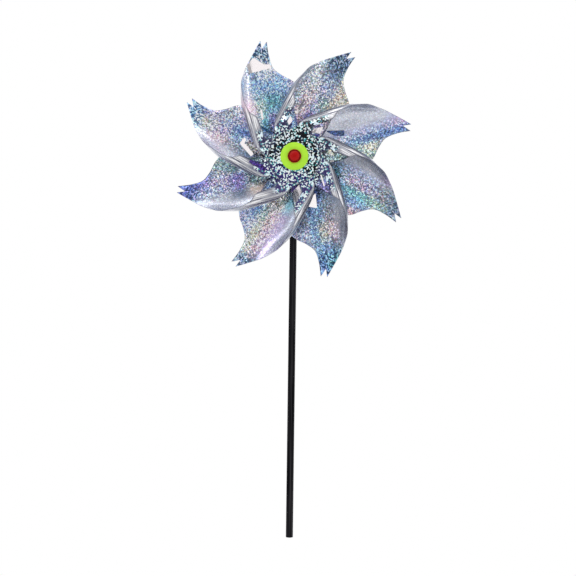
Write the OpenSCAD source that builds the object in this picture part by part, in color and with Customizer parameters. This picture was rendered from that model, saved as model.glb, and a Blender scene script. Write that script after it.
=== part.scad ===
// Pinwheel: eight curled film petals that spin on an axle at the top of a tube stick.
// The origin is the middle of the stick's foot. +Z runs up the stick, and the wheel faces -Y.
// Millimetres throughout.

/* [Wheel] */
// Distance from the axle to the petals' tips
tip_r = 122; // [110:1:135]
// Distance from the stick's foot up to the axle
axle_h = 380; // [200:10:600]
// Angle of the first petal's tip, counted from level and seen from the front
first_tip_deg = 16.3; // [0:0.1:45]

/* [Petals] */
// Thickness of the film
film_t = 0.3; // [0.15:0.05:0.4]
// Free space between two films in a stack
film_gap = 0.05; // [0.03:0.01:0.08]
// Distance from a petal's centre line to where its curl begins
curl_start = 23.5; // [21:0.5:25]
// Radius of the curl, from flat back to flat flap
curl_r = 13; // [11:0.5:14]
// Slope of the blade across its width, which shingles the petals
shingle_slope = 0.15; // [0.13:0.01:0.18]
// Radius of the round end at the back, under the hub
root_r = 17; // [16:0.5:18]
// Radius of the round end at the front of the hub
flap_r = 26; // [22:0.5:27]

/* [Hub] */
// Radius of the green discs
disc_r = 13.6; // [11:0.1:16]
// Thickness of the green discs at the rim
disc_t = 1.6; // [1.2:0.1:2.4]
// Radius of the red cap
cap_r = 6.6; // [5:0.1:8]
// Height of the red cap
cap_h = 3.6; // [3:0.1:5]
// Radius of the core tube that the films are threaded on
core_r = 3.5; // [3:0.1:4]
// Radius of the axle pin
pin_r = 1.25; // [1:0.05:1.5]

/* [Stick] */
// Outside radius of the stick
stick_r = 3.6; // [3:0.1:4.5]
// Wall thickness of the stick's tube
stick_wall = 0.8; // [0.6:0.1:1.2]
// How deep the top holder's plug sits in the tube
plug_len = 18; // [10:1:30]

/* [Hidden] */
$fn = 64;
PETALS = 8;
PETAL_STEP = 360 / PETALS;

// Clearances: along the axle between parts that turn against each other, and round the axle
end_gap = 0.05;
run_gap = 0.05;
eyelet_gap = 0.1;
// Overshoot of a cutting tool past the face that it cuts
cut = 1;

// The stick and its top holder
head_below = 8;
stick_len = axle_h - head_below;
tube_bore_r = stick_r - stick_wall;
seat_r = tube_bore_r + 0.2;
head_r = stick_r + 0.4;
boss_r = stick_r - 0.4;
boss_front = stick_r + 1.4;
boss_back = stick_r + 0.8;
pin_head_r = 2.6;
pin_head_t = 1.2;

// Places along the axle, as distances in front of the stick's centre line
bead_r = 2.6;
bead_t = 3;
bead_at = boss_front + end_gap;
core_at = bead_at + bead_t + end_gap;
film_pitch = film_t + film_gap;
roots_at = core_at + disc_t + film_pitch / 2;
curl_h = 2 * curl_r;
stack_depth = (PETALS - 1) * film_pitch;
front_disc_at = roots_at + stack_depth + curl_h + film_pitch / 2;
core_len = front_disc_at + disc_t - core_at;
disc_dome = 0.6;
disc_land_r = cap_r + 0.6;
cap_at = core_at + core_len + end_gap;
cap_bore_depth = cap_h - 1.2;

// The petal's flat pattern. x runs towards the tip, v runs across, from the root to the flap.
// The flap's eyelet lies where the curl brings it back over the root's eyelet.
flap_v = 2 * curl_start + PI * curl_r;
flap_start_v = curl_start + PI * curl_r;
limb_v = curl_start + PI * curl_r / 2;
tip_drop = 9;
drop_zone = [60, 102];
root_settle = [root_r + 2, root_r + 7];
flap_settle = [flap_r + 8, flap_r + 18];
flap_press = [flap_r + 4, flap_r + 13];
root_slope = [root_r + 1, root_r + 16];
flap_slope = [flap_r + 2, flap_r + 24];
across = 7;
across_power = 1.25;
notch = [54, limb_v];
belly = [69, -25.3];
lower_prong = [tip_r - 2.4, -4.2];
fork = [tip_r - 8.4, 2.8];
upper_prong = [tip_r, 1.8];
strap_free_v = flap_start_v - 0.3;

// ---- Curves ----

// Point number i of a list, with the ends repeated
function key(pts, i) = pts[max(0, min(len(pts) - 1, i))];

// A point on a smooth curve through four neighbouring points, u from 0 to 1 between b and c
function blend(a, b, c, d, u) =
    b + u / 2 * (c - a) + u * u * (a - 2.5 * b + 2 * c - d / 2) + u * u * u / 2 * (3 * b - a - 3 * c + d);

// A smooth curve through every point of pts, in n equal steps, without its last point
function smooth_curve(pts, n) = [
    for (k = [0 : n - 1])
        let (w = k * (len(pts) - 1) / n, i = floor(w))
            blend(key(pts, i - 1), key(pts, i), key(pts, i + 1), key(pts, i + 2), w - i)
];

// An arc round centre c, in n steps, without its last point
function arc_curve(c, r, from, to, n) = [
    for (k = [0 : n - 1])
        let (a = from + (to - from) * k / n)
            c + r * [cos(a), sin(a)]
];

// Eases from 0 at a zone's start to 1 at its end
function ease(x, zone) = let (u = max(0, min(1, (x - zone[0]) / (zone[1] - zone[0])))) u * u * (3 - 2 * u);

// Where the curl begins. It comes down towards the tip, so that the outer edge is rounded.
function curl_from(x) = curl_start - tip_drop * ease(x, drop_zone);

// A point of the flat pattern, curled: x along the petal, y across it, z forward from its back.
// Round the hub the film lies flat in its stack, shift forward of the middle of the stack,
// and away from the hub every petal lies at the same depth, sloped so that it passes its neighbours.
function curled(x, v, shift) =
    let (from = curl_from(x))
    let (turn = max(0, min(180, (v - from) / curl_r * 180 / PI)))
    let (y = v < from ? v : v < flap_start_v ? from + curl_r * sin(turn) : flap_v - v)
    let (dip = curl_r * (1 + cos(turn)))
    let (hub = norm([x, y]))
        v < limb_v ?
            [x, y, curl_h - dip + shift * (1 - ease(hub, root_settle)) + shingle_slope * y * ease(x, root_slope)]
            : [x, y, curl_h - dip * ease(hub, flap_press) + shift * (1 - ease(hub, flap_settle))
                + shingle_slope * y * ease(x, flap_slope)];

// The unit normal of the curled film, by small steps along the pattern
function film_normal(x, v, shift) =
    let (d = 0.01)
    let (along = curled(x + d, v, shift) - curled(x - d, v, shift))
    let (over = curled(x, v + d, shift) - curled(x, v - d, shift))
    let (n = cross(along, over))
        n / norm(n);

// ---- The petal's outline: an inner edge along the cut and an outer edge round the tip ----

root_steps = 5;
arm_steps = 4;
belly_steps = 4;
tip_steps = 5;
back_steps = 5;
front_steps = 9;
flap_steps = 7;
root_inner_from = 163;
root_outer_from = 197;
root_inner_to = 30;
root_outer_to = 330;
flap_inner_from = -98;
flap_outer_from = -38;
flap_inner_to = -232;
flap_outer_to = 98;

function flap_point(a) = [0, flap_v] + flap_r * [cos(a), sin(a)];
function root_point(a) = root_r * [cos(a), sin(a)];
// The outer edge crosses the curl's outermost line here
limb_edge = [85, curl_from(85) + PI * curl_r / 2];
strap_edge = [27, strap_free_v + 0.5];
strap_root = [10, flap_v - flap_r - 2];

inner_edge = concat(
    arc_curve([0, 0], root_r, root_inner_from, root_inner_to, root_steps),
    smooth_curve([root_point(root_inner_to), [18.6, 6.9], [22.3, 8.6], [28, 11.5]], arm_steps),
    smooth_curve([[28, 11.5], [36, 17.5], [43.5, 25.5]], belly_steps),
    smooth_curve([[43.5, 25.5], [50, 34.5], notch - [0, 1.2]], tip_steps),
    [notch - [0, 1.2], notch + [0.6, 0]],
    smooth_curve([notch + [0, 1.2], notch + [-6, 2.4], notch + [-12, 3]], back_steps),
    smooth_curve([notch + [-12, 3], [30, limb_v + 5], [20, limb_v + 9], strap_root], front_steps),
    [strap_root],
    arc_curve([0, flap_v], flap_r, flap_inner_from, flap_inner_to, flap_steps),
    [flap_point(flap_inner_to)]
);

outer_edge = concat(
    arc_curve([0, 0], root_r, root_outer_from, root_outer_to, root_steps),
    smooth_curve([root_point(root_outer_to), [18.6, -6.9], [22.3, -8.8], [29, -14]], arm_steps),
    smooth_curve([[29, -14], [42, -16], [56, -21.5], belly], belly_steps),
    smooth_curve([belly, [77.4, -19.2], [84.8, -10.8], [94, -4], [107, -2.8], lower_prong], tip_steps),
    [lower_prong, fork],
    smooth_curve([upper_prong, [111, 12.6], [100, 22.8], [92, 30], limb_edge], back_steps),
    smooth_curve([limb_edge, [80, limb_v], [73, limb_v + 5.5], [62, limb_v + 10], [53, limb_v + 13],
        [45, strap_free_v - 1], strap_edge], front_steps),
    [strap_edge],
    arc_curve([0, flap_v], flap_r, flap_outer_from, flap_outer_to, flap_steps),
    [flap_point(flap_outer_to)]
);

stations = len(inner_edge);

// The film's grid: one row of points for each station, from the inner edge to the outer one
function grid_point(i, j) =
    let (u = pow(j / across, across_power))
        inner_edge[i] * (1 - u) + outer_edge[i] * u;

function film_face(side, shift) = [
    for (i = [0 : stations - 1])
        for (j = [0 : across])
            let (p = grid_point(i, j))
                curled(p[0], p[1], shift) + side * film_t / 2 * film_normal(p[0], p[1], shift)
];

// Index of a grid point on the back face, and on the front face
function back_id(i, j) = i * (across + 1) + j;
function front_id(i, j) = stations * (across + 1) + back_id(i, j);

// Two triangles for a four-sided cell, with its corners in clockwise order seen from outside
function cell(a, b, c, d) = [[a, b, c], [a, c, d]];

face_cells = [
    for (i = [0 : stations - 2])
        for (j = [0 : across - 1])
            each concat(
                cell(front_id(i, j), front_id(i + 1, j), front_id(i + 1, j + 1), front_id(i, j + 1)),
                cell(back_id(i, j), back_id(i, j + 1), back_id(i + 1, j + 1), back_id(i + 1, j))
            )
];

long_edge_cells = [
    for (i = [0 : stations - 2])
        each concat(
            cell(back_id(i, 0), back_id(i + 1, 0), front_id(i + 1, 0), front_id(i, 0)),
            cell(back_id(i, across), front_id(i, across), front_id(i + 1, across), back_id(i + 1, across))
        )
];

end_cells = [
    for (j = [0 : across - 1])
        let (last = stations - 1)
            each concat(
                cell(back_id(0, j), front_id(0, j), front_id(0, j + 1), back_id(0, j + 1)),
                cell(back_id(last, j), back_id(last, j + 1), front_id(last, j + 1), front_id(last, j))
            )
];

// ---- Places ----

// Puts a part that is modelled along +Z on the axle, with its z = 0 at a distance in front of the stick
module on_axle(at) {
    translate([0, -at, axle_h])
        rotate([90, 0, 0])
            children();
}

// ---- Petals ----

module petal(n) {
    shift = ((PETALS + 1) / 2 - n) * film_pitch;
    on_axle(roots_at + stack_depth / 2)
        rotate([0, 0, first_tip_deg + (n - 1) * PETAL_STEP])
            difference() {
                polyhedron(
                    concat(film_face(-1, shift), film_face(1, shift)),
                    concat(face_cells, long_edge_cells, end_cells)
                );
                translate([0, 0, -stack_depth])
                    cylinder(h = curl_h + 2 * stack_depth, r = core_r + eyelet_gap);
            }
}

module petal_1() { color("lightsteelblue") petal(1); }
module petal_2() { color("lightsteelblue") petal(2); }
module petal_3() { color("lightsteelblue") petal(3); }
module petal_4() { color("lightsteelblue") petal(4); }
module petal_5() { color("lightsteelblue") petal(5); }
module petal_6() { color("lightsteelblue") petal(6); }
module petal_7() { color("lightsteelblue") petal(7); }
module petal_8() { color("lightsteelblue") petal(8); }

// ---- Hub ----

// A disc with a flat land in the middle and a slightly domed ring round it
module hub_disc() {
    rim = 0.5;
    rotate_extrude()
        polygon([
            [core_r, 0],
            [disc_r - rim, 0],
            [disc_r, rim],
            [disc_r, disc_t - rim],
            [disc_r - rim, disc_t],
            [disc_land_r + disc_dome, disc_t + disc_dome],
            [disc_land_r, disc_t],
            [core_r, disc_t]
        ]);
}

module front_disc() {
    color("greenyellow")
        on_axle(front_disc_at)
            hub_disc();
}

module rear_disc() {
    color("greenyellow")
        on_axle(core_at)
            difference() {
                cylinder(h = disc_t, r = disc_r);
                translate([0, 0, -cut])
                    cylinder(h = disc_t + 2 * cut, r = core_r);
            }
}

module core_tube() {
    color("gainsboro")
        on_axle(core_at)
            difference() {
                cylinder(h = core_len, r = core_r);
                translate([0, 0, -cut])
                    cylinder(h = core_len + 2 * cut, r = pin_r + run_gap);
            }
}

// A dome on a short rim, with a blind bore at the back for the pin's front end
module red_cap() {
    rim_h = 0.9;
    dome_h = cap_h - rim_h;
    dome_sphere_r = (cap_r * cap_r + dome_h * dome_h) / (2 * dome_h);
    color("firebrick")
        on_axle(cap_at)
            difference() {
                union() {
                    cylinder(h = rim_h, r = cap_r);
                    intersection() {
                        translate([0, 0, cap_h - dome_sphere_r])
                            sphere(r = dome_sphere_r);
                        cylinder(h = cap_h, r = cap_r);
                    }
                }
                translate([0, 0, -cut])
                    cylinder(h = cap_bore_depth + cut, r = pin_r);
            }
}

module thrust_bead() {
    color("white")
        on_axle(bead_at)
            difference() {
                cylinder(h = bead_t, r = bead_r);
                translate([0, 0, -cut])
                    cylinder(h = bead_t + 2 * cut, r = pin_r + run_gap);
            }
}

// A pin with a flat head at the back, pressed through the holder and into the cap
module axle_pin() {
    color("silver") {
        on_axle(-boss_back)
            cylinder(h = boss_back + cap_at + cap_bore_depth, r = pin_r);
        on_axle(-boss_back - pin_head_t)
            cylinder(h = pin_head_t, r = pin_head_r);
    }
}

// ---- Stick ----

// A tube, reamed a little wider at the top for the holder's plug
module stick() {
    color("#17171c")
        difference() {
            cylinder(h = stick_len, r = stick_r);
            translate([0, 0, -cut])
                cylinder(h = stick_len + 2 * cut, r = tube_bore_r);
            translate([0, 0, stick_len - plug_len])
                cylinder(h = plug_len + cut, r = seat_r);
        }
}

// A plug in the tube's top, with a bevelled head that sits on the tube's end, and a cross boss that holds the pin
module top_holder() {
    bevel = 1;
    head_top = axle_h + stick_r + 2 * bevel;
    color("#1d1d22")
        difference() {
            union() {
                rotate_extrude()
                    polygon([
                        [0, stick_len - plug_len],
                        [seat_r, stick_len - plug_len],
                        [seat_r, stick_len],
                        [head_r, stick_len],
                        [head_r, head_top - bevel],
                        [head_r - bevel, head_top],
                        [0, head_top]
                    ]);
                on_axle(-boss_back)
                    cylinder(h = boss_back + boss_front, r = boss_r);
            }
            on_axle(-boss_back - cut)
                cylinder(h = boss_back + boss_front + 2 * cut, r = pin_r);
        }
}

stick();
top_holder();
axle_pin();
red_cap();
front_disc();
core_tube();
rear_disc();
thrust_bead();
petal_1();
petal_2();
petal_3();
petal_4();
petal_5();
petal_6();
petal_7();
petal_8();
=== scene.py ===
"""Pinwheel: the looks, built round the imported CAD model.

Metres, in the row's frame: the stick's foot at the origin, +Z up the stick, the wheel facing -Y.
The film's shape is worked out in millimetres, in each petal's own frame, and scaled at the end."""

import math
import random

import bmesh
import bpy
from mathutils import Matrix, Vector, noise


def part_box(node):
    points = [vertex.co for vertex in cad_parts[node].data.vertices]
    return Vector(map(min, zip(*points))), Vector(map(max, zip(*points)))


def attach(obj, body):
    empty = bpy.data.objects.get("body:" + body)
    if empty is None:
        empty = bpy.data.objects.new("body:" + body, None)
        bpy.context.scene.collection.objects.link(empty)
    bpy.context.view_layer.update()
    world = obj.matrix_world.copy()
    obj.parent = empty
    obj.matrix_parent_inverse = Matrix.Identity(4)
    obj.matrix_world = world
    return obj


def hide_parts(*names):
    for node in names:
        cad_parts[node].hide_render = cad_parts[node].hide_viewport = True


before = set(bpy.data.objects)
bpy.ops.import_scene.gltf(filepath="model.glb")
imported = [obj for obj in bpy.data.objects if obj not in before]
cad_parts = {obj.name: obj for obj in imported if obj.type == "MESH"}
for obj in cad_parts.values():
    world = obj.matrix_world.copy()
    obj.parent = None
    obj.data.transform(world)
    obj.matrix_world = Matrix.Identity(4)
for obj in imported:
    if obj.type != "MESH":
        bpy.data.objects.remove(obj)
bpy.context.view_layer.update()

MM = 0.001
PETALS = 8
PETAL_STEP = 360 / PETALS
FIRST_TIP_DEG = 16.3

# ---- The film's pattern, in millimetres, as in the CAD model ----

TIP_R = 122
FILM_PITCH = 0.35
CURL_START = 23.5
CURL_R = 13
SHINGLE_SLOPE = 0.15
ROOT_R = 17
FLAP_R = 26
EYELET_R = 3.6
TIP_DROP = 9
DROP_ZONE = (60, 102)
ROOT_SETTLE = (ROOT_R + 2, ROOT_R + 7)
FLAP_SETTLE = (FLAP_R + 8, FLAP_R + 18)
FLAP_PRESS = (FLAP_R + 4, FLAP_R + 13)
ROOT_SLOPE = (ROOT_R + 1, ROOT_R + 16)
FLAP_SLOPE = (FLAP_R + 2, FLAP_R + 24)
FLAP_V = 2 * CURL_START + math.pi * CURL_R
FLAP_START_V = CURL_START + math.pi * CURL_R
LIMB_V = CURL_START + math.pi * CURL_R / 2
STRAP_FREE_V = FLAP_START_V - 0.3
STACK_DEPTH = (PETALS - 1) * FILM_PITCH

NOTCH = Vector((54, LIMB_V))
BELLY = Vector((69, -25.3))
LOWER_PRONG = Vector((TIP_R - 2.4, -4.2))
FORK = Vector((TIP_R - 8.4, 2.8))
UPPER_PRONG = Vector((TIP_R, 1.8))

# The film's thickness: less than in the CAD model, and nearer to real film
FILM_T = 0.22
# Mesh steps along an edge for each of the CAD model's steps
FINER = 5
# Mesh cells across the film, and how much closer together they are near the inner edge
ACROSS = 34
ACROSS_POWER = 1.25


def ease(x, zone):
    """Eases from 0 at a zone's start to 1 at its end."""
    u = max(0.0, min(1.0, (x - zone[0]) / (zone[1] - zone[0])))
    return u * u * (3 - 2 * u)


def smooth_curve(points, steps):
    """A smooth curve through every point, in that many CAD steps, without its last point."""
    pts = [Vector(p) for p in points]
    last = len(pts) - 1
    out = []
    total = steps * FINER
    for k in range(total):
        w = k * last / total
        i = int(w)
        u = w - i
        a, b, c, d = (pts[max(0, min(last, i + j))] for j in (-1, 0, 1, 2))
        out.append(
            b + u / 2 * (c - a) + u * u * (a - 2.5 * b + 2 * c - d / 2) + u**3 / 2 * (3 * b - a - 3 * c + d)
        )
    return out


def arc_curve(centre, radius, start, end, steps):
    """An arc round a centre, from one angle to another in degrees, without its last point."""
    total = steps * FINER
    angles = [math.radians(start + (end - start) * k / total) for k in range(total)]
    return [Vector(centre) + radius * Vector((math.cos(a), math.sin(a))) for a in angles]


def at_angle(centre, radius, angle):
    """The place at an angle in degrees on a circle."""
    a = math.radians(angle)
    return Vector(centre) + radius * Vector((math.cos(a), math.sin(a)))


def curl_from(x):
    """Where the curl begins. It comes down towards the tip, so that the outer edge is rounded."""
    return CURL_START - TIP_DROP * ease(x, DROP_ZONE)


def film_edges():
    """The inner edge of the flat pattern, along the cut, and the outer edge, round the tip."""
    root, flap = (0, 0), (0, FLAP_V)
    limb_edge = Vector((85, curl_from(85) + math.pi * CURL_R / 2))
    strap_edge = Vector((27, STRAP_FREE_V + 0.5))
    strap_root = Vector((10, FLAP_V - FLAP_R - 2))
    below, above = NOTCH - Vector((0, 1.2)), NOTCH + Vector((0, 1.2))
    strap_mid = NOTCH + Vector((-12, 3))
    inner = (
        arc_curve(root, ROOT_R, 163, 30, 5)
        + smooth_curve([at_angle(root, ROOT_R, 30), (18.6, 6.9), (22.3, 8.6), (28, 11.5)], 4)
        + smooth_curve([(28, 11.5), (36, 17.5), (43.5, 25.5)], 4)
        + smooth_curve([(43.5, 25.5), (50, 34.5), below], 5)
        + smooth_curve([below, NOTCH + Vector((0.6, 0)), above], 2)
        + smooth_curve([above, NOTCH + Vector((-6, 2.4)), strap_mid], 5)
        + smooth_curve([strap_mid, (30, LIMB_V + 5), (20, LIMB_V + 9), strap_root], 9)
        + smooth_curve([strap_root, at_angle(flap, FLAP_R, -98)], 1)
        + arc_curve(flap, FLAP_R, -98, -232, 7)
        + [at_angle(flap, FLAP_R, -232)]
    )
    outer = (
        arc_curve(root, ROOT_R, 197, 330, 5)
        + smooth_curve([at_angle(root, ROOT_R, 330), (18.6, -6.9), (22.3, -8.8), (29, -14)], 4)
        + smooth_curve([(29, -14), (42, -16), (56, -21.5), BELLY], 4)
        + smooth_curve([BELLY, (77.4, -19.2), (84.8, -10.8), (94, -4), (107, -2.8), LOWER_PRONG], 5)
        + smooth_curve([LOWER_PRONG, FORK], 1)
        + smooth_curve([FORK, UPPER_PRONG], 1)
        + smooth_curve([UPPER_PRONG, (111, 12.6), (100, 22.8), (92, 30), limb_edge], 5)
        + smooth_curve(
            [
                limb_edge,
                (80, LIMB_V),
                (73, LIMB_V + 5.5),
                (62, LIMB_V + 10),
                (53, LIMB_V + 13),
                (45, STRAP_FREE_V - 1),
                strap_edge,
            ],
            9,
        )
        + smooth_curve([strap_edge, at_angle(flap, FLAP_R, -38)], 1)
        + arc_curve(flap, FLAP_R, -38, 98, 7)
        + [at_angle(flap, FLAP_R, 98)]
    )
    return inner, outer


def curled(x, v, shift):
    """A point of the flat pattern, curled: x along the petal, y across it, z forward from its back."""
    start = curl_from(x)
    turn = max(0.0, min(math.pi, (v - start) / CURL_R))
    if v < start:
        y = v
    elif v < FLAP_START_V:
        y = start + CURL_R * math.sin(turn)
    else:
        y = FLAP_V - v
    dip = CURL_R * (1 + math.cos(turn))
    hub = math.hypot(x, y)
    if v < LIMB_V:
        z = 2 * CURL_R - dip + shift * (1 - ease(hub, ROOT_SETTLE)) + SHINGLE_SLOPE * y * ease(x, ROOT_SLOPE)
    else:
        z = 2 * CURL_R - dip * ease(hub, FLAP_PRESS) + shift * (1 - ease(hub, FLAP_SETTLE))
        z += SHINGLE_SLOPE * y * ease(x, FLAP_SLOPE)
    return Vector((x, y, z))


# ---- What makes each petal its own ----

# The film's colours as they look in soft light, in display values from 0 to 255: its hues together with the
# painted light and dark of its reflections
TINTS = {
    "silver": (192, 194, 206),
    "grey": (150, 153, 166),
    "slate": (112, 126, 150),
    "lavender": (170, 175, 208),
    "lilac": (186, 172, 206),
    "pink": (212, 182, 196),
    "peach": (214, 194, 182),
    "cream": (206, 203, 188),
    "sage": (156, 178, 176),
    "aqua": (128, 178, 194),
    "teal": (96, 142, 160),
    "sky": (134, 162, 206),
    "blue": (104, 128, 184),
    "indigo": (94, 104, 164),
    "violet": (134, 124, 186),
}

# Each petal's blade as a picture in words: rows from the curl down to the belly, columns from hub to tip. The
# words paint the film's hues and its painted reflections, such as the silver painted highlight along the curl
ROWS_AT = (28, 18, 9, 1, -8, -18)
COLUMNS_AT = (42, 60, 78, 95, 112)
BLADES = (
    """
    silver   silver   silver   silver   lavender
    silver   silver   silver   silver   lavender
    lavender lavender lavender lavender lilac
    peach    sky      blue     blue     blue
    sage     sage     cream    grey     grey
    sage     sage     sage     sage     sage
    """,
    """
    grey     grey     silver   silver   slate
    pink     pink     silver   grey     slate
    violet   lavender lavender slate    slate
    violet   sage     lavender slate    slate
    lilac    peach    peach    cream    slate
    peach    cream    cream    cream    cream
    """,
    """
    silver   pink     silver   silver   slate
    teal     sage     sky      slate    slate
    violet   teal     sky      silver   slate
    sky      teal     sky      silver   slate
    sky      slate    sky      lavender slate
    lavender lavender lavender lavender slate
    """,
    """
    slate    silver   silver   silver   sky
    slate    grey     pink     silver   sky
    peach    sky      lilac    cream    sky
    blue     blue     lavender lilac    sky
    slate    lavender grey     lilac    sky
    slate    silver   silver   silver   silver
    """,
    """
    silver   silver   silver   silver   lavender
    peach    slate    silver   silver   lavender
    sage     violet   lavender lavender indigo
    sage     violet   lilac    violet   indigo
    sage     sage     grey     indigo   indigo
    sage     sage     sage     sage     sage
    """,
    """
    grey     grey     grey     silver   grey
    aqua     lilac    lilac    lilac    slate
    cream    pink     pink     pink     slate
    peach    sage     cream    cream    slate
    sky      sky      lavender silver   grey
    lavender lavender lavender lavender grey
    """,
    """
    slate    grey     grey     silver   teal
    slate    grey     pink     slate    teal
    blue     sky      cream    sky      teal
    blue     sky      sky      sky      blue
    silver   grey     lavender grey     sky
    silver   silver   lavender lavender lavender
    """,
    """
    grey     grey     silver   lilac    slate
    slate    lavender lavender grey     slate
    teal     lilac    lilac    grey     slate
    blue     aqua     aqua     sage     slate
    violet   sky      sky      silver   silver
    lilac    lilac    pink     peach    peach
    """,
)

# How the speckle hardens towards each tip, partly the film's own cells and partly painted reflection in
# stronger light and dark: how hard it gets, where along x it starts, over how many millimetres, and how far
# that line slants out towards the curl
TIPS = (
    (0.0, 96, 20, 0.0),
    (1.0, 82, 22, 0.3),
    (1.0, 98, 1, 0.9),
    (0.9, 98, 1, 0.1),
    (0.8, 94, 3, 1.0),
    (0.8, 100, 9, 0.5),
    (1.0, 93, 5, 0.1),
    (0.8, 94, 20, 0.0),
)
# How far each tip leans across the petal, in millimetres
TIP_SWAYS = (0.6, 1.5, -1.0, 0.8, -1.7, -0.3, -1.6, -0.2)
# How much farther out each tip reaches than in the CAD model
TIP_REACHES = (0, 0, 1.6, 0, 0, 0, 0, 0)
# How far up each blade the soft speckle reaches, as the zone across the film where it fades
SPECKLE_ENDS = ((2, 16), (26, 40), (18, 34), (12, 28), (8, 22), (8, 24), (16, 30), (14, 28))
# Painted light: how bright each petal's film is painted as a whole, for how much light it catches
PAINTED_PETAL_LIGHT = (0.87, 0.88, 1.22, 1.02, 0.92, 1.12, 0.78, 0.73)
# How far out along each strap's free side the hard speckle reaches
STRAP_SPECKLES = (38, 37, 30, 26, 24, 44, 38, 30)
# How blue and violet the speckle is round each petal's root, as painted dark reflection
ROOT_VIOLET = (0.0, 0.4, 0.4, 0.4, 0.4, 0.9, 0.8, 0.3)
# The hub's lower side, where every petal's speckle is more violet, as painted dark reflection
LOW_SIDE = (-0.34, -0.94)

# What a bright facet mirrors, by how far it leans to the right and up, and how bright its painted glare is
# there
FACET_LIGHTS = {
    "lamp": (-0.32, 0.31, 0.45),
    "floor": (0.05, -0.32, 1.0),
    "room": (0.30, 0.0, 1.0),
}
# Flat facets of the creased film, as convex polygons with their corners anticlockwise. Bright ones are
# painted glare where they mirror a light, and deep ones painted dark reflection of the room.
BRIGHT_FACETS = {
    1: [("lamp", ((33, -13), (38, -14), (38, -10), (34, -10)))],
    2: [
        ("lamp", ((36, -10), (43, -9), (37, -2), (32, -1))),
        ("lamp", ((41, 19.5), (57, 19.5), (57, 21.5), (41, 22))),
    ],
    3: [
        ("lamp", ((38, -9), (44, -8.5), (38, -2.5), (33, -0.5))),
        ("lamp", ((47, 18.7), (56.5, 17.5), (57, 19.7), (46, 20.7))),
        ("lamp", ((94, -4), (97.5, -4), (99, 4), (98, 12), (94, 12))),
        ("lamp", ((94, 4), (99, 4), (108, 13), (101, 22), (94, 21))),
    ],
    4: [
        ("lamp", ((38, 15), (52, 10), (55, 13), (39, 18.7))),
        ("lamp", ((51, 5.5), (54.5, 5.5), (55.5, 13), (52, 11))),
    ],
    7: [
        ("floor", ((44, 1.2), (49, 1), (53, 9), (38, 11.5))),
        ("room", ((31, -11), (37, -12), (43, -10), (30, 1), (21, 5))),
    ],
    8: [
        ("floor", ((39, -9), (40, -8), (27, 4.5), (25.5, 4))),
        ("floor", ((34, -13), (37, -14), (38, -11))),
    ],
}
DEEP_FACETS = {
    1: [((45, 12), (54.5, 9), (56, 14.5), (37, 19.5))],
    2: [((29, -9.5), (35.5, -9.8), (32.5, -5.5), (27.5, -7))],
    3: [((34, -7), (37.5, -8.8), (34, -3), (30.5, -2))],
    4: [((18, 60.5), (36, 61), (36, 65), (18, 65))],
    5: [((33, -7), (42, -12), (44, -9), (36, -3), (30, -1))],
    7: [((26, -10), (31, -11), (30, 0), (24, 2))],
}
# Stands for no facet nearby
FAR = 50.0

# The petals' small differences in shape, in millimetres, and the zones where they come in
TIP_BENDS = (-1.6, 2.4)
TIP_BEND_ZONE = (84, TIP_R)
TIP_SHIFT_ZONE = (80, TIP_R)
BELLY_BENDS = (-1.2, 0.4)
BELLY_ZONE = (2, 26)
LOOSE_ZONE = (36, 62)
WAVE_SIZE = (26, 22)
WAVE_HEIGHT = 0.9
RIPPLE_SIZE = (11, 17)
RIPPLE_HEIGHT = 0.22

# Where the hard speckle of the hub ends: on the front round the flap end, on the back round the root end, and
# along the strap. Its black and white is partly painted reflection, and on the hub's lower side it turns
# violet, as painted dark reflection.
FRONT_TURN = (2.0, 2.7)
FRONT_SPECKLE = (30, 40)
BACK_SPECKLE = (29, 40)
STRAP_SIDE = (56, 59)
STRAP_FADE = 7
STRAP_SPECKLE = 0.9
LOW_SIDE_ZONE = (8, 19)
LOW_SIDE_VIOLET = 0.9

# How much of the soft speckle is lost beyond its zone, and where the line that hard tips start at bends
SPECKLE_LOSS = 0.8
TIP_LINE_V = 4
# Where the curl's painted reflection streaks come in, by its turn in radians, and where and how far they
# weaken towards the tip
STREAK_TURN = (0.9, 1.5)
STREAK_END = (48, 66)
STREAK_LOSS = 0.55


def outside_by(point, corners):
    """How far a point lies outside a convex polygon, in millimetres, below zero inside it."""
    worst = -FAR
    for start, end in zip(corners, corners[1:] + corners[:1]):
        edge = Vector(end) - Vector(start)
        off = Vector(point) - Vector(start)
        worst = max(worst, (edge.y * off.x - edge.x * off.y) / edge.length)
    return worst


def between(value, places):
    """Which pair of neighbouring places a value lies between, and how far it is from one to the other."""
    for k in range(len(places) - 1):
        u = (value - places[k]) / (places[k + 1] - places[k])
        if u < 1:
            break
    return k, ease(u, (0, 1))


def linear(display):
    """A display colour from 0 to 255 as linear light."""
    return Vector([((c / 255 + 0.055) / 1.055) ** 2.4 for c in display])


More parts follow.
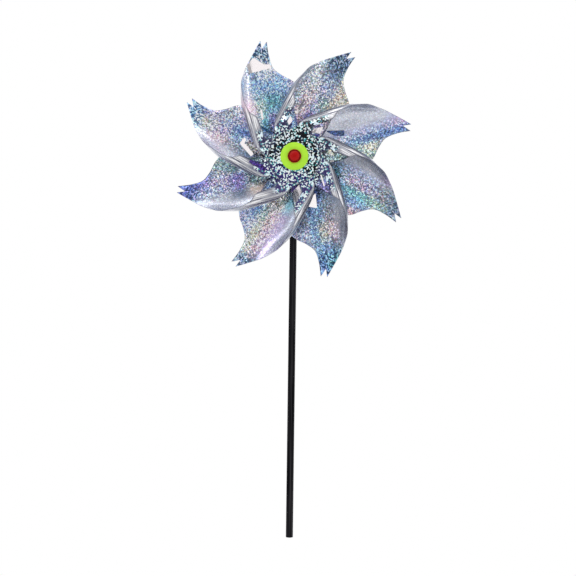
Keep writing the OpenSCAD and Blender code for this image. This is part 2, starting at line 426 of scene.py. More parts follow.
class Petal:
    """One film petal: its place in the stacks, and its small differences from the others."""

    def __init__(self, number):
        rng = random.Random(40 + number)
        self.number = number
        self.angle = math.radians(FIRST_TIP_DEG + (number - 1) * PETAL_STEP)
        self.shift = ((PETALS + 1) / 2 - number) * FILM_PITCH
        self.seed = Vector((rng.uniform(0, 90), rng.uniform(0, 90), rng.uniform(0, 90)))
        self.tip_bend = rng.uniform(*TIP_BENDS)
        self.belly_bend = rng.uniform(*BELLY_BENDS)
        self.sway = TIP_SWAYS[number - 1]
        self.reach = TIP_REACHES[number - 1]
        self.tip_hard, self.tip_from, self.tip_over, self.tip_slant = TIPS[number - 1]
        self.speckle_end = SPECKLE_ENDS[number - 1]
        self.strap_speckle = STRAP_SPECKLES[number - 1]
        # The petal's tints are scaled by its painted light
        painted_light = PAINTED_PETAL_LIGHT[number - 1]
        lines = [line for line in BLADES[number - 1].split("\n") if line.strip()]
        self.rows = [[painted_light * linear(TINTS[word]) for word in line.split()] for line in lines]
        self.bright = BRIGHT_FACETS.get(number, [])
        self.deep = DEEP_FACETS.get(number, [])
        self.violet = ROOT_VIOLET[number - 1]
        self.low_side = Matrix.Rotation(-self.angle, 2) @ Vector(LOW_SIDE)

    def point(self, x, v):
        """The curled film with this petal's own bends and slack waves, away from the hub."""
        p = curled(x, v, self.shift)
        loose = ease(math.hypot(p.x, p.y), LOOSE_ZONE)
        p.z += self.tip_bend * ease(x, TIP_BEND_ZONE) + self.belly_bend * ease(-v, BELLY_ZONE) * loose
        tip_shift = ease(x, TIP_SHIFT_ZONE)
        p.y += self.sway * tip_shift
        p.x += self.reach * tip_shift
        wave = noise.noise(Vector((x / WAVE_SIZE[0], v / WAVE_SIZE[1], 0)) + self.seed)
        ripple = noise.noise(Vector((x / RIPPLE_SIZE[0], v / RIPPLE_SIZE[1], 5)) + self.seed)
        p.z += (WAVE_HEIGHT * wave + RIPPLE_HEIGHT * ripple) * loose
        return p

    def normal(self, x, v):
        """The direction square to the film at this place."""
        d = 0.02
        along = self.point(x + d, v) - self.point(x - d, v)
        over = self.point(x, v + d) - self.point(x, v - d)
        return along.cross(over).normalized()

    def film_values(self, x, v):
        """Numbers that the film's material reads at this place on the flat film."""
        turn = (v - curl_from(x)) / CURL_R
        front = ease(turn, FRONT_TURN) * (1 - ease(math.hypot(x, FLAP_V - v), FRONT_SPECKLE))
        strap = ease(v, STRAP_SIDE) * (1 - ease(x, (self.strap_speckle, self.strap_speckle + STRAP_FADE)))
        back = (1 - ease(math.hypot(x, v), BACK_SPECKLE)) if v < LIMB_V else 0
        tip_start = self.tip_from + self.tip_slant * max(0, v - TIP_LINE_V)
        low = Vector((x, v if v < LIMB_V else FLAP_V - v)).dot(self.low_side)
        facets = [(outside_by((x, v), corners), light) for light, corners in self.bright]
        nearest, light = min(facets, default=(FAR, "room"))
        right, up, shade = FACET_LIGHTS[light]
        lean = Matrix.Rotation(-self.angle, 2) @ Vector((right, up))
        return {
            "hub": max(front, STRAP_SPECKLE * strap, back),
            "tip": self.tip_hard * ease(x, (tip_start, tip_start + self.tip_over)),
            "grain": 1 - SPECKLE_LOSS * ease(v, self.speckle_end),
            "roll": ease(turn, STREAK_TURN) * (1 - STREAK_LOSS * ease(x, STREAK_END)),
            "bright": nearest,
            "deep": min([outside_by((x, v), corners) for corners in self.deep], default=FAR),
            "violet": max(self.violet, LOW_SIDE_VIOLET * ease(low, LOW_SIDE_ZONE)),
            "lean_x": lean.x,
            "lean_y": lean.y + SHINGLE_SLOPE,
            "shade": shade,
        }

    def tint(self, x, v):
        """The blade's colour at this place, between the words of its picture."""
        i, down = between(v, ROWS_AT)
        k, out = between(x, COLUMNS_AT)
        upper = self.rows[i][k].lerp(self.rows[i][k + 1], out)
        lower = self.rows[i + 1][k].lerp(self.rows[i + 1][k + 1], out)
        return upper.lerp(lower, down)

    def to_row(self, p):
        """From the petal's frame, in millimetres, to the row's frame, in metres."""
        c, s = math.cos(self.angle), math.sin(self.angle)
        across, up = c * p.x - s * p.y, s * p.x + c * p.y
        return Vector((across * MM, -(p.z + ROOTS_AT) * MM, AXLE_Z + up * MM))


def centre_of(node):
    """The middle of a node's box, in metres."""
    low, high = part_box(node)
    return (Vector(low) + Vector(high)) / 2


AXLE_Z = centre_of("front_disc").z
# The middle of the stack of root ends, in front of the stick's centre line, in millimetres
ROOTS_AT = -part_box("rear_disc")[0][1] / MM + FILM_PITCH / 2 + STACK_DEPTH / 2
# What each vertex of the film holds for the material
FILM_VALUES = ("hub", "tip", "grain", "roll", "bright", "deep", "violet", "lean_x", "lean_y", "shade", "edge")
# Millimetres of film to one unit of its UV map
UV_MM = 100


def film_grid():
    """Places on the flat film in rows across it, and the cells that are cut out for the eyelets.

    The grid's points round an eyelet are moved onto its circle, so that the eyelets are round."""
    inner, outer = film_edges()
    steps = [(j / ACROSS) ** ACROSS_POWER for j in range(ACROSS + 1)]
    grid = [[start.lerp(end, step) for step in steps] for start, end in zip(inner, outer)]
    eyes = (Vector((0, 0)), Vector((0, FLAP_V)))
    cut = set()
    for i in range(len(grid) - 1):
        for j in range(ACROSS):
            corners = (grid[i][j], grid[i + 1][j], grid[i + 1][j + 1], grid[i][j + 1])
            if any((corner - eye).length < EYELET_R for corner in corners for eye in eyes):
                cut.add((i, j))
    for i, row in enumerate(grid):
        for j, place in enumerate(row):
            cells = {(i - 1, j - 1), (i - 1, j), (i, j - 1), (i, j)}
            if cells & cut and cells - cut:
                eye = min(eyes, key=lambda e: (place - e).length)
                row[j] = eye + (place - eye).normalized() * EYELET_R
    return grid, cut


def painted_edge_shade(place, places):
    """Painted shade along the film's cut edge: how dark it is, darker and wider on the strap."""
    on_strap = ease(place[1], (LIMB_V, LIMB_V + 6))
    from_edge = min((place - places[0]).length, (places[-1] - place).length)
    return (0.5 + 0.4 * on_strap) * (1 - ease(from_edge, (0.2, 1.1 + 0.8 * on_strap)))


def film_mesh(petal):
    """The petal's mesh: two skins a film's thickness apart, walled round the edge, with two eyelets."""
    grid, cut = film_grid()
    bm = bmesh.new()
    film_uv = bm.loops.layers.uv.new("film")
    layers = {name: bm.verts.layers.float.new(name) for name in FILM_VALUES}
    tint_layer = bm.verts.layers.float_color.new("tint")
    rows = []
    flat_of = {}
    for places in grid:
        row = []
        for place in places:
            x, v = place
            middle = petal.point(x, v)
            away = petal.normal(x, v) * FILM_T / 2
            values = petal.film_values(x, v)
            values["edge"] = painted_edge_shade(place, places)
            tint = petal.tint(x, v)
            pair = []
            for side in (-1, 1):
                vert = bm.verts.new(petal.to_row(middle + side * away))
                for name in FILM_VALUES:
                    vert[layers[name]] = values[name]
                vert[tint_layer] = (tint.x, tint.y, tint.z, 1.0)
                flat_of[vert] = (x, v)
                pair.append(vert)
            row.append(pair)
        rows.append(row)
    for i in range(len(rows) - 1):
        for j in range(ACROSS):
            if (i, j) in cut:
                continue
            a, b, c, d = rows[i][j], rows[i + 1][j], rows[i + 1][j + 1], rows[i][j + 1]
            bm.faces.new((a[1], d[1], c[1], b[1]))
            bm.faces.new((a[0], b[0], c[0], d[0]))
    wall_open_edges(bm, rows)
    bm.normal_update()
    for face in bm.faces:
        face.smooth = True
        for loop in face.loops:
            x, v = flat_of[loop.vert]
            loop[film_uv].uv = (x / UV_MM, v / UV_MM)
    bmesh.ops.recalc_face_normals(bm, faces=bm.faces)
    mesh = bpy.data.meshes.new(f"film_{petal.number}")
    bm.to_mesh(mesh)
    bm.free()
    return mesh


def wall_open_edges(bm, rows):
    """Joins the two skins wherever a skin has an open edge."""
    twin = {}
    for row in rows:
        for back, front in row:
            twin[back] = front
    back_edges = [e for e in bm.edges if e.is_boundary and e.verts[0] in twin and e.verts[1] in twin]
    for edge in back_edges:
        a, b = edge.verts
        bm.faces.new((a, b, twin[b], twin[a]))
    loose = [v for v in bm.verts if not v.link_faces]
    bmesh.ops.delete(bm, geom=loose, context="VERTS")


# ---- Small helpers for pieces and shaders ----


def add_object(name, mesh, material, slot, body, *nodes):
    """Puts a mesh in the scene as a piece that stands for these CAD nodes and rides on a body."""
    obj = bpy.data.objects.new(name, mesh)
    bpy.context.scene.collection.objects.link(obj)
    mesh.materials.append(material)
    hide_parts(*nodes)
    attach(obj, body)
    return obj


class Shader:
    """A material with one Principled shader, and short calls to add and join nodes."""

    def __init__(self, name, **values):
        self.material = bpy.data.materials.new(name)
        self.material.use_nodes = True
        self.tree = self.material.node_tree
        self.surface = self.tree.nodes["Principled BSDF"]
        self.set(self.surface, **values)

    def set(self, node, **values):
        """Sets a node's inputs by name, with an underscore for each space."""
        for key, value in values.items():
            node.inputs[key.replace("_", " ")].default_value = value

    def add(self, kind, settings=None, **values):
        """A new shader node with these settings and input values."""
        node = self.tree.nodes.new("ShaderNode" + kind)
        for key, value in (settings or {}).items():
            setattr(node, key, value)
        self.set(node, **values)
        return node

    def link(self, output, socket):
        self.tree.links.new(output, socket)

    def to(self, output, socket_name):
        """Joins an output to one of the Principled shader's inputs."""
        self.link(output, self.surface.inputs[socket_name])

    def maths(self, operation, a, b=None, c=None):
        """A Math node on numbers or outputs, and its output."""
        node = self.add("Math", {"operation": operation})
        for socket, value in zip(node.inputs, (a, b, c)):
            if value is None:
                continue
            if isinstance(value, (int, float)):
                socket.default_value = value
            else:
                self.link(value, socket)
        return node.outputs[0]

    def mix(self, factor, a, b, blend_type="MIX"):
        """A colour mix of outputs or colours, and its output."""
        node = self.add("Mix", {"data_type": "RGBA", "blend_type": blend_type})
        for socket, value in ((node.inputs[0], factor), (node.inputs[6], a), (node.inputs[7], b)):
            if isinstance(value, (int, float, tuple)):
                socket.default_value = value
            else:
                self.link(value, socket)
        return node.outputs[2]

    def times(self, a, b):
        """One colour times another, and its output."""
        return self.mix(1.0, a, b, "MULTIPLY")

    def ramp(self, factor, stops, interpolation="LINEAR"):
        """A colour ramp with (position, colour) stops, and its output."""
        node = self.add("ValToRGB")
        node.color_ramp.interpolation = interpolation
        elements = node.color_ramp.elements
        while len(elements) > 1:
            elements.remove(elements[-1])
        elements[0].position, elements[0].color = stops[0]
        for position, colour in stops[1:]:
            elements.new(position).color = colour
        self.link(factor, node.inputs[0])
        return node.outputs[0]


def rgb(r, g, b):
    return (r, g, b, 1.0)


# ---- Materials ----

# The film's speckle, in millimetres: soft on the blade, and hard at the tips and round the hub
SOFT_CELL = 1.05
HARD_CELL = 1.3
# How far the cells tilt at most, as a part of the normal's length: everywhere, and how much farther where the
# speckle is hard
LEAST_TILT = 0.01
MORE_TILT = 0.12
# How much brighter the film is than its tints, to look like them in this light
FILM_GAIN = 1.24


def film_material():
    """Metallised film with a holographic speckle of about a millimetre, laid out on the flat film, with
    painted reflections, glare, streaks and edge shade in its colour.
    """
    s = Shader("mirror_film", Metallic=0.92, IOR=1.5, Coat_Weight=0.35, Coat_Roughness=0.05, Coat_IOR=1.6)
    uv = s.add("UVMap", {"uv_map": "film"}).outputs[0]
    scale = s.add("VectorMath", {"operation": "SCALE"})
    s.link(uv, scale.inputs[0])
    scale.inputs["Scale"].default_value = UV_MM
    film = scale.outputs[0]
    hub, tip, grain, roll, bright, deep, violet, lean_x, lean_y, shade, edge = (
        s.add("Attribute", {"attribute_name": name}).outputs["Fac"] for name in FILM_VALUES
    )
    tint = s.add("Attribute", {"attribute_name": "tint"}).outputs["Color"]

    def cell_values(size):
        """Three random numbers for each cell of the film, with cells of about this many millimetres."""
        cells = s.add("TexVoronoi", {"voronoi_dimensions": "2D"}, Scale=1 / size, Randomness=1.0)
        s.link(film, cells.inputs["Vector"])
        cell = s.add("SeparateColor")
        s.link(cells.outputs["Color"], cell.inputs[0])
        return cell.outputs[0], cell.outputs[1], cell.outputs[2]

    fine, fine_hue, fine_tilt = cell_values(SOFT_CELL)
    coarse, coarse_tilt_x, coarse_tilt_y = cell_values(HARD_CELL)

    # The blade: its own tint, with flecks of every hue, and light and dark flecks that are the film's cells
    # with painted glints and reflections
    flecks = s.ramp(
        fine_hue,
        [
            (0.0, rgb(1.20, 0.86, 0.98)),
            (0.25, rgb(1.14, 1.06, 0.74)),
            (0.50, rgb(0.80, 1.12, 0.94)),
            (0.75, rgb(0.76, 1.02, 1.24)),
            (1.0, rgb(1.06, 0.88, 1.22)),
        ],
    )
    glitter = s.ramp(
        fine,
        [
            (0.0, rgb(0.22, 0.24, 0.28)),
            (0.34, rgb(0.60, 0.62, 0.66)),
            (0.60, rgb(1.00, 1.00, 1.02)),
            (1.0, rgb(2.60, 2.56, 2.45)),
        ],
    )
    speckle = s.times(flecks, glitter)
    lit = s.times(tint, rgb(FILM_GAIN, FILM_GAIN, FILM_GAIN))
    soft = s.mix(grain, lit, s.times(lit, speckle))

    # Towards the tip the cells are larger and harder, with painted reflection in their stronger light and
    # dark
    tip_cells = s.ramp(
        coarse,
        [
            (0.0, rgb(0.08, 0.14, 0.22)),
            (0.42, rgb(0.20, 0.32, 0.44)),
            (0.58, rgb(0.86, 1.00, 1.08)),
            (0.72, rgb(1.90, 2.00, 1.95)),
            (1.0, rgb(3.00, 3.00, 2.80)),
        ],
    )
    tip_colour = s.times(s.times(lit, tip_cells), flecks)

    # Round the hub they are painted nearly black, teal and white: the film's cells with painted reflections
    # of dark and light
    hub_cells = s.ramp(
        coarse,
        [
            (0.0, rgb(0.001, 0.002, 0.006)),
            (0.50, rgb(0.008, 0.030, 0.085)),
            (0.58, rgb(0.08, 0.38, 0.42)),
            (0.652, rgb(0.86, 0.98, 1.04)),
        ],
        "CONSTANT",
    )
    hub_flecks = s.mix(0.6, rgb(1.0, 1.0, 1.0), flecks)
    hub_colour = s.mix(violet, s.times(hub_cells, hub_flecks), rgb(0.035, 0.02, 0.17), "LIGHTEN")

    # On the curl and the straps the film is painted with long streaks of dark and bright reflection
    streaks = s.add("TexNoise", {"noise_dimensions": "2D"}, Scale=1.0, Detail=3.0, Roughness=0.6)
    stretch = s.add("VectorMath", {"operation": "MULTIPLY"})
    s.link(film, stretch.inputs[0])
    stretch.inputs[1].default_value = (0.03, 0.5, 1.0)
    s.link(stretch.outputs[0], streaks.inputs["Vector"])
    silver = s.ramp(
        streaks.outputs["Fac"],
        [
            (0.38, rgb(0.03, 0.03, 0.06)),
            (0.44, rgb(0.22, 0.22, 0.27)),
            (0.52, rgb(0.38, 0.39, 0.43)),
            (0.60, rgb(0.52, 0.50, 0.48)),
            (0.64, rgb(0.92, 0.92, 0.94)),
        ],
    )
    colour = s.mix(s.maths("MULTIPLY", roll, 0.85), soft, silver)
    colour = s.mix(tip, colour, tip_colour)
    colour = s.mix(hub, colour, hub_colour)

    # Painted glare and painted dark reflection on the facets, and painted shade along the cut edges
    painted_dark_reflection_colour = s.times(speckle, s.mix(violet, rgb(0.05, 0.08, 0.20), rgb(0.06, 0.02, 0.20)))
    colour = s.mix(s.maths("LESS_THAN", deep, 0), colour, painted_dark_reflection_colour)
    in_bright = s.maths("LESS_THAN", bright, 0)
    painted_glare_colour = s.ramp(shade, [(0.0, rgb(0.0, 0.0, 0.0)), (1.0, rgb(1.0, 0.95, 0.95))])
    colour = s.mix(in_bright, colour, painted_glare_colour)
    # Painted shade along the cut edges
    colour = s.mix(edge, colour, rgb(0.07, 0.07, 0.12))
    s.to(colour, "Base Color")

    # Smooth film is a little less glossy than the speckle's cells
    smooth = s.maths("SUBTRACT", 1.0, grain)
    rough = s.maths("MULTIPLY_ADD", smooth, 0.18, s.maths("MULTIPLY_ADD", fine_tilt, 0.10, 0.10))
    s.to(s.maths("MULTIPLY_ADD", roll, 0.10, rough), "Roughness")

    # Each cell is tilted a little, and more where the speckle is hard. Bright facets lean as a whole instead.
    hard = s.maths("MAXIMUM", s.maths("MULTIPLY", grain, 0.7), s.maths("MAXIMUM", hub, tip))
    streaked = s.maths("MULTIPLY", roll, s.maths("SUBTRACT", 1.0, hub))
    hard = s.maths("MULTIPLY", hard, s.maths("SUBTRACT", 1.0, streaked))
    tilted = s.maths("MULTIPLY_ADD", hard, MORE_TILT, LEAST_TILT)
    tilted = s.maths("MULTIPLY", tilted, s.maths("SUBTRACT", 1.0, in_bright))
    tilt = s.add("CombineColor")
    tilt.inputs[2].default_value = 1.0
    for k, (value, lean) in enumerate(((coarse_tilt_x, lean_x), (coarse_tilt_y, lean_y))):
        rest = s.maths("MULTIPLY_ADD", s.maths("MULTIPLY", in_bright, lean), 0.5, 0.5)
        s.link(s.maths("MULTIPLY_ADD", s.maths("SUBTRACT", value, 0.5), tilted, rest), tilt.inputs[k])
    facets = s.add("NormalMap", {"uv_map": "film"}, Strength=1.0)
    s.link(tilt.outputs[0], facets.inputs["Color"])
    bump = s.add("Bump", Strength=0.25, Distance=0.0004)
    s.link(streaks.outputs["Fac"], bump.inputs["Height"])
    s.link(facets.outputs[0], bump.inputs["Normal"])
    s.to(bump.outputs[0], "Normal")
    return s.material


def moulded_plastic(name, colour, rough, grain=0.12, spread=0.08, **values):
    """Moulded plastic: slight flow in the colour, uneven gloss and a fine skin."""
    s = Shader(name, IOR=1.49, **values)
    place = s.add("TexCoord").outputs["Object"]
    flow = s.add("TexNoise", Scale=90.0, Detail=4.0, Roughness=0.55)
    s.link(place, flow.inputs["Vector"])
    dark = rgb(*(c * (1 - spread) for c in colour))
    light = rgb(*(min(1.0, c * (1 + spread)) for c in colour))
    s.to(s.ramp(flow.outputs["Fac"], [(0.3, dark), (0.7, light)]), "Base Color")
    skin = s.add("TexNoise", Scale=1400.0, Detail=3.0, Roughness=0.6)
    s.link(place, skin.inputs["Vector"])
    s.to(s.maths("MULTIPLY_ADD", skin.outputs["Fac"], 0.12, rough - 0.06), "Roughness")
    bump = s.add("Bump", Strength=grain, Distance=0.00006)
    s.link(skin.outputs["Fac"], bump.inputs["Height"])
    s.to(bump.outputs[0], "Normal")
    return s.material


def cap_plastic():
    """Red plastic with painted shade in the groove between the button's rim and its dome, and the rim painted
    a little darker than the dome.
    """
    s = Shader("red_plastic", IOR=1.49, Specular_IOR_Level=0.12)
    place = s.add("TexCoord").outputs["Object"]
    split = s.add("SeparateXYZ")
    s.link(place, split.inputs[0])
    height = s.maths("SUBTRACT", split.outputs[2], AXLE_Z)
    off_axis = s.maths("SQRT", s.maths("MULTIPLY_ADD", height, height, s.maths("POWER", split.outputs[0], 2)))
    grain = s.add("TexNoise", Scale=900.0, Detail=3.0, Roughness=0.6)
    s.link(place, grain.inputs["Vector"])
    uneven = s.maths("MULTIPLY", s.maths("SUBTRACT", grain.outputs["Fac"], 0.5), 0.08)
    # Painted shade: darkest in the groove, a little dark on the rim
    shade = s.ramp(
        s.maths("ADD", s.maths("MULTIPLY", off_axis, 100), uneven),
        [
            (0.0, rgb(0.34, 0.002, 0.002)),
            (0.38, rgb(0.41, 0.006, 0.005)),
            (0.46, rgb(0.38, 0.006, 0.004)),
            (0.54, rgb(0.16, 0.006, 0.002)),
            (0.66, rgb(0.34, 0.013, 0.003)),
        ],
    )
    s.to(shade, "Base Color")
    s.to(s.maths("MULTIPLY_ADD", grain.outputs["Fac"], 0.12, 0.22), "Roughness")
    bump = s.add("Bump", Strength=0.12, Distance=0.00006)
    s.link(grain.outputs["Fac"], bump.inputs["Height"])
    s.to(bump.outputs[0], "Normal")
    return s.material


def stick_material():
    """Extruded black plastic, with fine lighter lines along its length, partly the plastic's own and partly
    painted highlight streaks.
    """
    s = Shader("black_tube", IOR=1.45, Specular_IOR_Level=0.02)
    place = s.add("TexCoord").outputs["Object"]
    stretch = s.add("VectorMath", {"operation": "MULTIPLY"})
    s.link(place, stretch.inputs[0])
    stretch.inputs[1].default_value = (1.0, 1.0, 0.012)
    lines = s.add("TexNoise", Scale=900.0, Detail=4.0, Roughness=0.6)
    s.link(stretch.outputs[0], lines.inputs["Vector"])
    # Black, with lighter lines that are partly painted highlight
    blacks_and_highlights = [(0.4, rgb(0.001, 0.001, 0.002)), (0.65, rgb(0.030, 0.029, 0.032))]
    s.to(s.ramp(lines.outputs["Fac"], blacks_and_highlights), "Base Color")
    s.to(s.maths("MULTIPLY_ADD", lines.outputs["Fac"], 0.22, 0.14), "Roughness")
    bump = s.add("Bump", Strength=0.1, Distance=0.00004)
    s.link(lines.outputs["Fac"], bump.inputs["Height"])
    s.to(bump.outputs[0], "Normal")
    return s.material


def steel_material():
    """Drawn wire: bare steel with a fine, uneven grain."""
    s = Shader("pin_steel", Metallic=1.0)
    place = s.add("TexCoord").outputs["Object"]
    grain = s.add("TexNoise", Scale=2200.0, Detail=3.0)
    s.link(place, grain.inputs["Vector"])
    greys = [(0.3, rgb(0.46, 0.46, 0.48)), (0.7, rgb(0.68, 0.68, 0.70))]
    s.to(s.ramp(grain.outputs["Fac"], greys), "Base Color")
    s.to(s.maths("MULTIPLY_ADD", grain.outputs["Fac"], 0.2, 0.2), "Roughness")
    return s.material


FILM = film_material()
BLACK_TUBE = stick_material()
BLACK_PLASTIC = moulded_plastic("black_plastic", (0.016, 0.016, 0.019), 0.38)
STEEL = steel_material()
RED = cap_plastic()
GREEN = moulded_plastic("green_plastic", (0.405, 0.76, 0.036), 0.42, grain=0.2, Specular_IOR_Level=0.3)
MILKY = moulded_plastic("clear_plastic", (0.74, 0.77, 0.78), 0.3)
WHITE = moulded_plastic("white_plastic", (0.78, 0.78, 0.76), 0.22)

# ---- Film petals ----

for count in range(1, PETALS + 1):
    petal = Petal(count)
    add_object(f"film_petal_{count}", film_mesh(petal), FILM, "mirror_film", "wheel", f"petal_{count}")


# ---- Turned pieces ----


def turned(profile, segments=96):
    """A mesh from a closed profile of (radius, height) pairs in millimetres, turned round +Z."""
    bm = bmesh.new()
    rings = []
    for k in range(segments):
        a = 2 * math.pi * k / segments
        rings.append([bm.verts.new((r * MM * math.cos(a), r * MM * math.sin(a), h * MM)) for r, h in profile])
    count = len(profile)
    for k in range(segments):
        here, there = rings[k], rings[(k + 1) % segments]
        for i in range(count):
            bm.faces.new((here[i], there[i], there[(i + 1) % count], here[(i + 1) % count]))
    bmesh.ops.remove_doubles(bm, verts=bm.verts, dist=1e-7)
    bmesh.ops.recalc_face_normals(bm, faces=bm.faces)
    for face in bm.faces:
        face.smooth = True
    mesh = bpy.data.meshes.new("turned")
    bm.to_mesh(mesh)
    bm.free()
    return mesh


def on_axle(mesh, distance):
    """Moves a mesh turned round +Z onto the axle, facing -Y, this many millimetres in front of the stick."""
    face_front = Matrix.Rotation(math.radians(90), 4, "X")
    mesh.transform(Matrix.Translation((0, -distance * MM, AXLE_Z)) @ face_front)
    return mesh


def sharpen(obj, angle=32):
    """Keeps a turned piece's corners crisp while its curves stay smooth."""
    obj.data.set_sharp_from_angle(angle=math.radians(angle))


def rounded(corner, start, end, radius, steps=6):
    """Points of a quarter round of that radius, replacing a corner between two directions."""
    c = Vector(corner)
    a = c + (Vector(start) - c).normalized() * radius
    b = c + (Vector(end) - c).normalized() * radius
    parts = [k / steps for k in range(steps + 1)]
    return [tuple(a * (1 - u) ** 2 + c * 2 * u * (1 - u) + b * u * u) for u in parts]


def hub_disc_mesh(thickness, radius, bore, land):
    """A moulded disc with rounded rims and a low swell between its rim and the flat land round its bore."""
    rim = 0.5
    swell = 0.495
    swell_from, swell_to = radius - 1.6, land + 0.8
    steps = 12
    profile = [(bore, 0)]
    profile += rounded((radius, 0), (radius - 2, 0), (radius, 2), rim)
    profile += rounded((radius, thickness), (radius, 0), (radius - 2, thickness), rim)
    for k in range(steps + 1):
        u = k / steps
        height = swell * math.sin(math.pi * (0.12 + u * 0.76)) ** 0.7
        profile.append((swell_from + (swell_to - swell_from) * u, thickness + height))
    profile += [(land + 0.35, thickness + 0.1), (land, thickness), (bore, thickness)]
    return turned(profile)


def radius_of(node):
    """Half a node's width, in millimetres."""
    low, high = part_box(node)
    return (high[0] - low[0]) / 2 / MM


def rear_of(node):
    """How far in front of the stick's centre line a node's rear face is, in millimetres."""
    return -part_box(node)[1][1] / MM


# Sizes in millimetres, as in the CAD model
disc_r = radius_of("front_disc")
disc_t = 1.6
core_r = 3.5
cap_r = radius_of("red_cap")
land_r = cap_r + 0.6
front_mesh = on_axle(hub_disc_mesh(disc_t, disc_r, core_r, land_r), rear_of("front_disc"))
sharpen(add_object("green_front_disc", front_mesh, GREEN, "green_plastic", "wheel", "front_disc"))

rear_mesh = hub_disc_mesh(disc_t, disc_r, core_r, land_r)
rear_mesh.transform(Matrix.Scale(-1, 4, (0, 0, 1)) @ Matrix.Translation((0, 0, -disc_t * MM)))
rear_mesh.flip_normals()
on_axle(rear_mesh, rear_of("rear_disc"))
sharpen(add_object("green_rear_disc", rear_mesh, GREEN, "green_plastic", "wheel", "rear_disc"))


def cap_mesh(radius, height, bore, bore_depth):
    """A button: a low rim, a groove inside it, and a dome."""
    rim_h, rim_in = 1.05, radius - 0.8
    dome_r, dome_foot = radius - 1.35, 0.9
    groove_floor = 0.45
    steps = 16
    profile = [(0, bore_depth), (bore, bore_depth), (bore, 0)]
    profile += rounded((radius, 0), (radius - 2, 0), (radius, 2), 0.3)
    profile += rounded((radius, rim_h), (radius, 0), (radius - 2, rim_h), 0.4)
    profile += rounded((rim_in, rim_h), (radius, rim_h), (rim_in, 0), 0.15)
    profile += [(rim_in - 0.1, groove_floor), (dome_r + 0.05, groove_floor)]
    for k in range(steps + 1):
        a = math.pi / 2 * k / steps
        profile.append((dome_r * math.cos(a), dome_foot + (height - dome_foot) * math.sin(a)))
    return turned(profile)


cap_low, cap_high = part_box("red_cap")
cap_height = (cap_high[1] - cap_low[1]) / MM
cap_top = 1.2
pin_r = 1.25
button_mesh = on_axle(cap_mesh(cap_r, cap_height, pin_r, cap_height - cap_top), rear_of("red_cap"))
sharpen(add_object("red_button", button_mesh, RED, "red_plastic", "stick", "red_cap"), 40)


def tube_mesh(outer, inner, length, burr=0.25):
    """A tube with slightly rounded ends."""
    profile = rounded((outer, 0), (inner, 0), (outer, length), burr)
    profile += rounded((outer, length), (outer, 0), (inner, length), burr)
    profile += rounded((inner, length), (outer, length), (inner, 0), burr * 0.6)
    profile += rounded((inner, 0), (inner, length), (outer, 0), burr * 0.6)
    return turned(profile, 64)


stick_low, stick_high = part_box("stick")
stick_r = radius_of("stick")
stick_wall = 0.8
stick_mesh = tube_mesh(stick_r, stick_r - stick_wall, (stick_high[2] - stick_low[2]) / MM)
sharpen(add_object("black_stick", stick_mesh, BLACK_TUBE, "black_tube", "stick", "stick"))

for node, material in (
    ("top_holder", BLACK_PLASTIC),
    ("axle_pin", STEEL),
    ("core_tube", MILKY),
    ("thrust_bead", WHITE),
):
    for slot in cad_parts[node].material_slots:
        slot.material = material

# ---- Floor, light and camera ----


FLOOR_R = 9.0


def floor():
    """A white floor that glows just enough to be lost in the white behind the object."""
    bm = bmesh.new()
    bmesh.ops.create_circle(bm, cap_ends=True, segments=96, radius=FLOOR_R)
    mesh = bpy.data.meshes.new("floor")
    bm.to_mesh(mesh)
    bm.free()
    obj = bpy.data.objects.new("floor", mesh)
    bpy.context.scene.collection.objects.link(obj)
    s = Shader("floor", Base_Color=rgb(0.0, 0.0, 0.0), Roughness=1.0, Specular_IOR_Level=0.0)
    s.set(s.surface, Emission_Color=rgb(1.0, 1.0, 1.0), Emission_Strength=1.0)
    mesh.materials.append(s.material)


floor()


def softbox(name, place, target, size, power):
    """A rectangular area light that the camera doesn't see, but that the film reflects."""
    light = bpy.data.lights.new(name, "AREA")
    light.shape = "RECTANGLE"
    light.size, light.size_y = size
    light.energy = power
    obj = bpy.data.objects.new(name, light)
    obj.location = place
    obj.rotation_euler = (Vector(target) - Vector(place)).to_track_quat("-Z", "Y").to_euler()
    obj.visible_camera = False
    bpy.context.scene.collection.objects.link(obj)


HUB = (0.0, 0.0, AXLE_Z)
softbox("key_box", (-1.1, -1.3, 1.7), HUB, size=(1.1, 1.4), power=6.5)
softbox("side_box", (1.6, -0.6, 0.7), HUB, size=(0.7, 1.6), power=3)
softbox("top_box", (0.1, -0.3, 1.9), HUB, size=(1.5, 1.0), power=4)
softbox("back_box", (0.3, 1.6, 1.0), HUB, size=(1.6, 1.2), power=5)


# How bright the room is, from the side to straight behind the camera: where along that way, and the grey
ROOM_SHADES = (
    (0.30, (0.90, 0.90, 0.92)),
    (0.80, (0.80, 0.80, 0.83)),
    (0.96, (0.70, 0.70, 0.73)),
    (0.997, (0.42, 0.42, 0.44)),
)


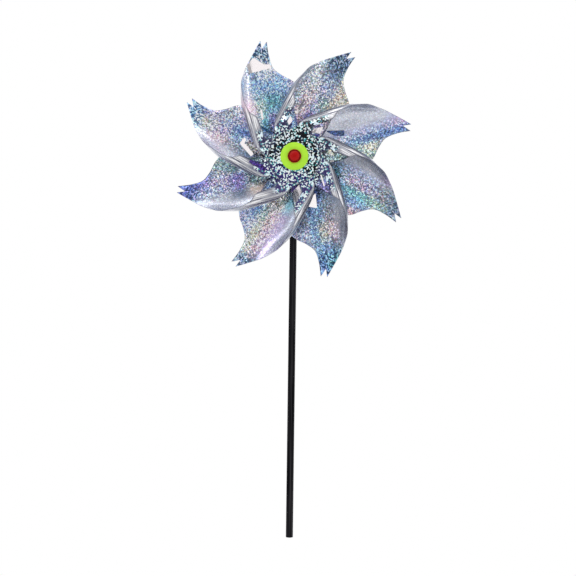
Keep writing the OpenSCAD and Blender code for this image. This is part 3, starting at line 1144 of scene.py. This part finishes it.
def studio_world():
    """White behind the object, and for the film to reflect, a pale room that is dark round the camera."""
    world = bpy.data.worlds.new("studio")
    bpy.context.scene.world = world
    world.use_nodes = True
    tree = world.node_tree

    def add(kind, **values):
        node = tree.nodes.new("ShaderNode" + kind)
        for key, value in values.items():
            node.inputs[key].default_value = value
        return node

    coords = add("TexCoord")
    split = add("SeparateXYZ")
    tree.links.new(coords.outputs["Generated"], split.inputs[0])
    towards_camera = add("Math")
    towards_camera.operation = "MULTIPLY"
    towards_camera.inputs[1].default_value = -1.0
    tree.links.new(split.outputs[1], towards_camera.inputs[0])
    dark = add("ValToRGB")
    tree.links.new(towards_camera.outputs[0], dark.inputs[0])
    shades = dark.color_ramp.elements
    shades[0].position, shades[1].position = ROOM_SHADES[0][0], ROOM_SHADES[-1][0]
    for place, _ in ROOM_SHADES[1:-1]:
        shades.new(place)
    for shade, (_, grey) in zip(shades, ROOM_SHADES):
        shade.color = rgb(*grey)
    room = tree.nodes["Background"]
    tree.links.new(dark.outputs[0], room.inputs["Color"])
    room.inputs["Strength"].default_value = 1.0
    seen = add("Background", Color=rgb(1.0, 1.0, 1.0), Strength=1.0)
    path = add("LightPath")
    pick = add("MixShader")
    tree.links.new(path.outputs["Is Camera Ray"], pick.inputs[0])
    tree.links.new(room.outputs[0], pick.inputs[1])
    tree.links.new(seen.outputs[0], pick.inputs[2])
    tree.links.new(pick.outputs[0], tree.nodes["World Output"].inputs["Surface"])


studio_world()
bpy.context.scene.view_settings.view_transform = "Standard"

CAMERA_PLACE = (-0.0046, -1.061, 0.2516)
CAMERA_ROLL_DEG = 0.74


def camera():
    """Level, from straight in front, a little below the wheel, and rolled by under a degree."""
    data = bpy.data.cameras.new("camera")
    data.sensor_width = 36.0
    data.lens = 65.6
    obj = bpy.data.objects.new("camera", data)
    bpy.context.scene.collection.objects.link(obj)
    level = Matrix.Rotation(math.radians(90), 4, "X")
    roll = Matrix.Rotation(math.radians(CAMERA_ROLL_DEG), 4, "Z")
    obj.matrix_world = Matrix.Translation(CAMERA_PLACE) @ level @ roll
    bpy.context.scene.camera = obj


camera()

bpy.context.view_layer.update()
